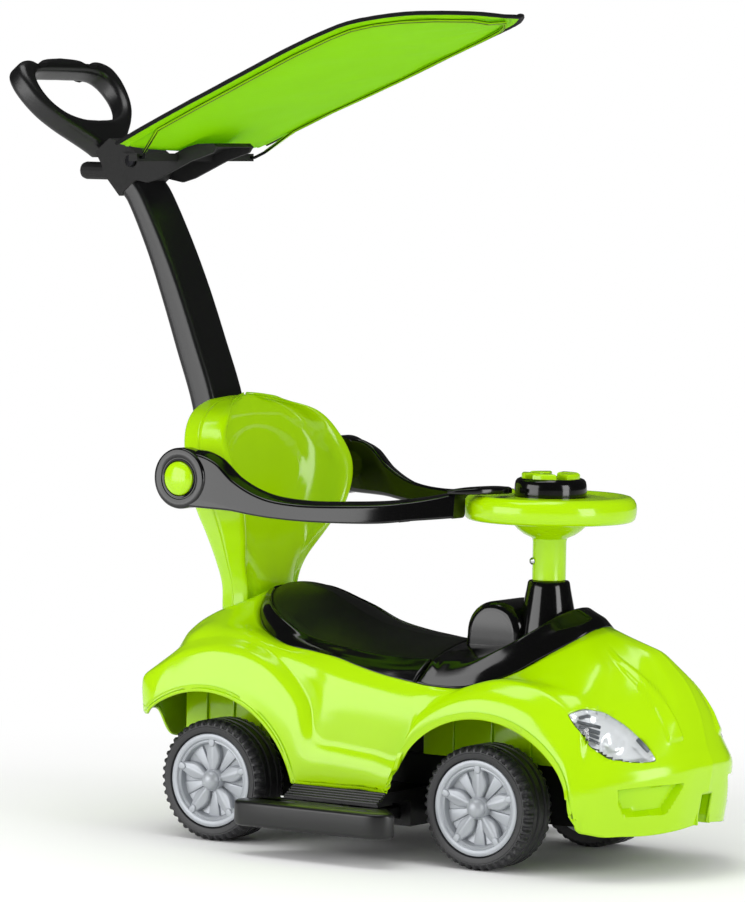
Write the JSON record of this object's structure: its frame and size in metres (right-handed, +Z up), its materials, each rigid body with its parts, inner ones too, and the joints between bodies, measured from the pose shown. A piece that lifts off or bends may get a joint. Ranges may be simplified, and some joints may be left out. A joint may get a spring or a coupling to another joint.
{
  "type": "foot to floor ride on car",
  "caption": "Foot-to-floor toy car with steering linkage, lifting guard arms, storage seat, sliding footrests, push pole with D handle and tilting canopy.",
  "frame": {"origin": "on the floor, midway along the car's whole length, on its symmetry plane", "axes": "+X forwards, +Y to the car's left, +Z up"},
  "size_m": [0.9376, 0.43, 0.9551],
  "materials": {
    "lime_plastic": "glossy moulded",
    "gloss_black_plastic": "glossy moulded",
    "satin_black_plastic": "satin moulded",
    "tyre_black_plastic": "satin blow-moulded",
    "silver_plastic": "silver-coloured moulded",
    "zinc_steel": "zinc plated",
    "chromed_plastic": "vacuum metallised",
    "clear_plastic": "clear glossy",
    "lime_polyester": "woven",
    "black_polyester": "woven tape"
  },
  "bodies": {
    "chassis": {"body_shell": "lime_plastic", "headlight_lens_left": "clear_plastic", "headlight_lens_right": "clear_plastic", "headlight_reflector_left": "chromed_plastic", "headlight_reflector_right": "chromed_plastic", "underbody": "satin_black_plastic", "dash_cowl": "gloss_black_plastic", "storage_tub": "satin_black_plastic", "seat_hinge_pin": "zinc_steel", "rear_axle": "zinc_steel", "push_nut_rear_left": "zinc_steel", "push_nut_rear_right": "zinc_steel", "backrest_front": "lime_plastic", "backrest_rear": "lime_plastic", "push_pole": "satin_black_plastic", "canopy_clamp": "satin_black_plastic", "clamp_bolt": "zinc_steel", "handle_loop": "satin_black_plastic", "guard_pin_left": "lime_plastic", "guard_pin_right": "lime_plastic", "front_beam": "satin_black_plastic"},
    "seat": {"seat_lid": "satin_black_plastic"},
    "steering_column": {"steering_rod": "zinc_steel", "steering_wheel": "lime_plastic", "column_screw": "zinc_steel", "horn_pad": "gloss_black_plastic", "sound_box": "satin_black_plastic"},
    "link": {"tie_rod": "zinc_steel"},
    "canopy": {"canopy_bracket": "satin_black_plastic", "canopy_frame": "zinc_steel", "canopy_fabric": "lime_polyester", "canopy_binding": "black_polyester"},
    "knob": {"clamp_knob": "satin_black_plastic"},
    "footrest_slide_left": {"footrest_left": "satin_black_plastic"},
    "rear_wheel_left": {"tyre_rear_left": "tyre_black_plastic", "hub_rear_left": "silver_plastic", "hub_cap_rear_left": "silver_plastic"},
    "front_knuckle_left": {"knuckle_left": "satin_black_plastic", "push_nut_front_left": "zinc_steel"},
    "front_wheel_left": {"tyre_front_left": "tyre_black_plastic", "hub_front_left": "silver_plastic", "hub_cap_front_left": "silver_plastic"},
    "guard_left": {"guard_arm_left": "gloss_black_plastic"},
    "guard_release_left": {"guard_button_left": "lime_plastic"},
    "footrest_slide_right": {"footrest_right": "satin_black_plastic"},
    "rear_wheel_right": {"tyre_rear_right": "tyre_black_plastic", "hub_rear_right": "silver_plastic", "hub_cap_rear_right": "silver_plastic"},
    "front_knuckle_right": {"knuckle_right": "satin_black_plastic", "push_nut_front_right": "zinc_steel"},
    "front_wheel_right": {"tyre_front_right": "tyre_black_plastic", "hub_front_right": "silver_plastic", "hub_cap_front_right": "silver_plastic"},
    "guard_right": {"guard_arm_right": "gloss_black_plastic"},
    "guard_release_right": {"guard_button_right": "lime_plastic"},
    "horn_1": {"horn_button_1": "lime_plastic"},
    "horn_2": {"horn_button_2": "lime_plastic"},
    "horn_3": {"horn_button_3": "lime_plastic"},
    "horn_4": {"horn_button_4": "lime_plastic"},
    "horn_5": {"horn_button_5": "lime_plastic"}
  },
  "joints": [
    {"name": "seat_hinge", "type": "hinge", "parent": "chassis", "child": "seat", "pos_m": [0.16385, 0, 0.231], "axis": [0, 1, 0], "range_deg": [0, 45]},
    {"name": "steering", "type": "hinge", "parent": "chassis", "child": "steering_column", "pos_m": [0.24985, 0, 0.25], "axis": [0, 0, 1], "range_deg": [-25, 25]},
    {"name": "tie_rod_slide", "type": "slide", "parent": "chassis", "child": "link", "axis": [0, -1, 0], "range_m": [-0.0151, 0.0151]},
    {"name": "canopy_tilt", "type": "hinge", "parent": "chassis", "child": "canopy", "pos_m": [-0.31615, 0, 0.777], "axis": [0, -1, 0], "range_deg": [-20, 15]},
    {"name": "knob_turn", "type": "hinge", "parent": "chassis", "child": "knob", "pos_m": [-0.38115, 0, 0.764], "axis": [1, 0, 0], "range_deg": [0, 360]},
    {"name": "footrest_left_slide", "type": "slide", "parent": "chassis", "child": "footrest_slide_left", "axis": [0, -1, 0], "range_m": [0, 0.05]},
    {"name": "rear_wheel_left_spin", "type": "hinge", "parent": "chassis", "child": "rear_wheel_left", "pos_m": [-0.11215, 0.119, 0.07], "axis": [0, 1, 0], "continuous": true},
    {"name": "knuckle_left_turn", "type": "hinge", "parent": "chassis", "child": "front_knuckle_left", "pos_m": [0.24985, 0.075, 0.07], "axis": [0, 0, 1], "range_deg": [-25.5, 25.5]},
    {"name": "front_wheel_left_spin", "type": "hinge", "parent": "front_knuckle_left", "child": "front_wheel_left", "pos_m": [0.24985, 0.119, 0.07], "axis": [0, 1, 0], "continuous": true},
    {"name": "guard_left_lift", "type": "hinge", "parent": "chassis", "child": "guard_left", "pos_m": [-0.14115, 0.1645, 0.418], "axis": [0, -1, 0], "range_deg": [0, 90]},
    {"name": "guard_button_left_press", "type": "slide", "parent": "guard_left", "child": "guard_release_left", "axis": [0, -1, 0], "range_m": [0, 0.004], "stiffness_N_per_m": 500, "springref_m": -0.002},
    {"name": "footrest_right_slide", "type": "slide", "parent": "chassis", "child": "footrest_slide_right", "axis": [0, 1, 0], "range_m": [0, 0.05]},
    {"name": "rear_wheel_right_spin", "type": "hinge", "parent": "chassis", "child": "rear_wheel_right", "pos_m": [-0.11215, -0.119, 0.07], "axis": [0, 1, 0], "continuous": true},
    {"name": "knuckle_right_turn", "type": "hinge", "parent": "chassis", "child": "front_knuckle_right", "pos_m": [0.24985, -0.075, 0.07], "axis": [0, 0, 1], "range_deg": [-25.5, 25.5]},
    {"name": "front_wheel_right_spin", "type": "hinge", "parent": "front_knuckle_right", "child": "front_wheel_right", "pos_m": [0.24985, -0.119, 0.07], "axis": [0, 1, 0], "continuous": true},
    {"name": "guard_right_lift", "type": "hinge", "parent": "chassis", "child": "guard_right", "pos_m": [-0.14115, -0.1645, 0.418], "axis": [0, -1, 0], "range_deg": [0, 90]},
    {"name": "guard_button_right_press", "type": "slide", "parent": "guard_right", "child": "guard_release_right", "axis": [0, 1, 0], "range_m": [0, 0.004], "stiffness_N_per_m": 500, "springref_m": -0.002},
    {"name": "horn_button_1_press", "type": "slide", "parent": "steering_column", "child": "horn_1", "axis": [0, 0, -1], "range_m": [0, 0.0015], "stiffness_N_per_m": 400, "springref_m": -0.001},
    {"name": "horn_button_2_press", "type": "slide", "parent": "steering_column", "child": "horn_2", "axis": [0, 0, -1], "range_m": [0, 0.0015], "stiffness_N_per_m": 400, "springref_m": -0.001},
    {"name": "horn_button_3_press", "type": "slide", "parent": "steering_column", "child": "horn_3", "axis": [0, 0, -1], "range_m": [0, 0.0015], "stiffness_N_per_m": 400, "springref_m": -0.001},
    {"name": "horn_button_4_press", "type": "slide", "parent": "steering_column", "child": "horn_4", "axis": [0, 0, -1], "range_m": [0, 0.0015], "stiffness_N_per_m": 400, "springref_m": -0.001},
    {"name": "horn_button_5_press", "type": "slide", "parent": "steering_column", "child": "horn_5", "axis": [0, 0, -1], "range_m": [0, 0.0015], "stiffness_N_per_m": 400, "springref_m": -0.001}
  ],
  "couplings": [
    {"joint": "tie_rod_slide", "follows": "steering", "m_per_rad": 0.0339},
    {"joint": "knuckle_left_turn", "follows": "steering", "ratio": 1},
    {"joint": "knuckle_right_turn", "follows": "steering", "ratio": 1}
  ]
}
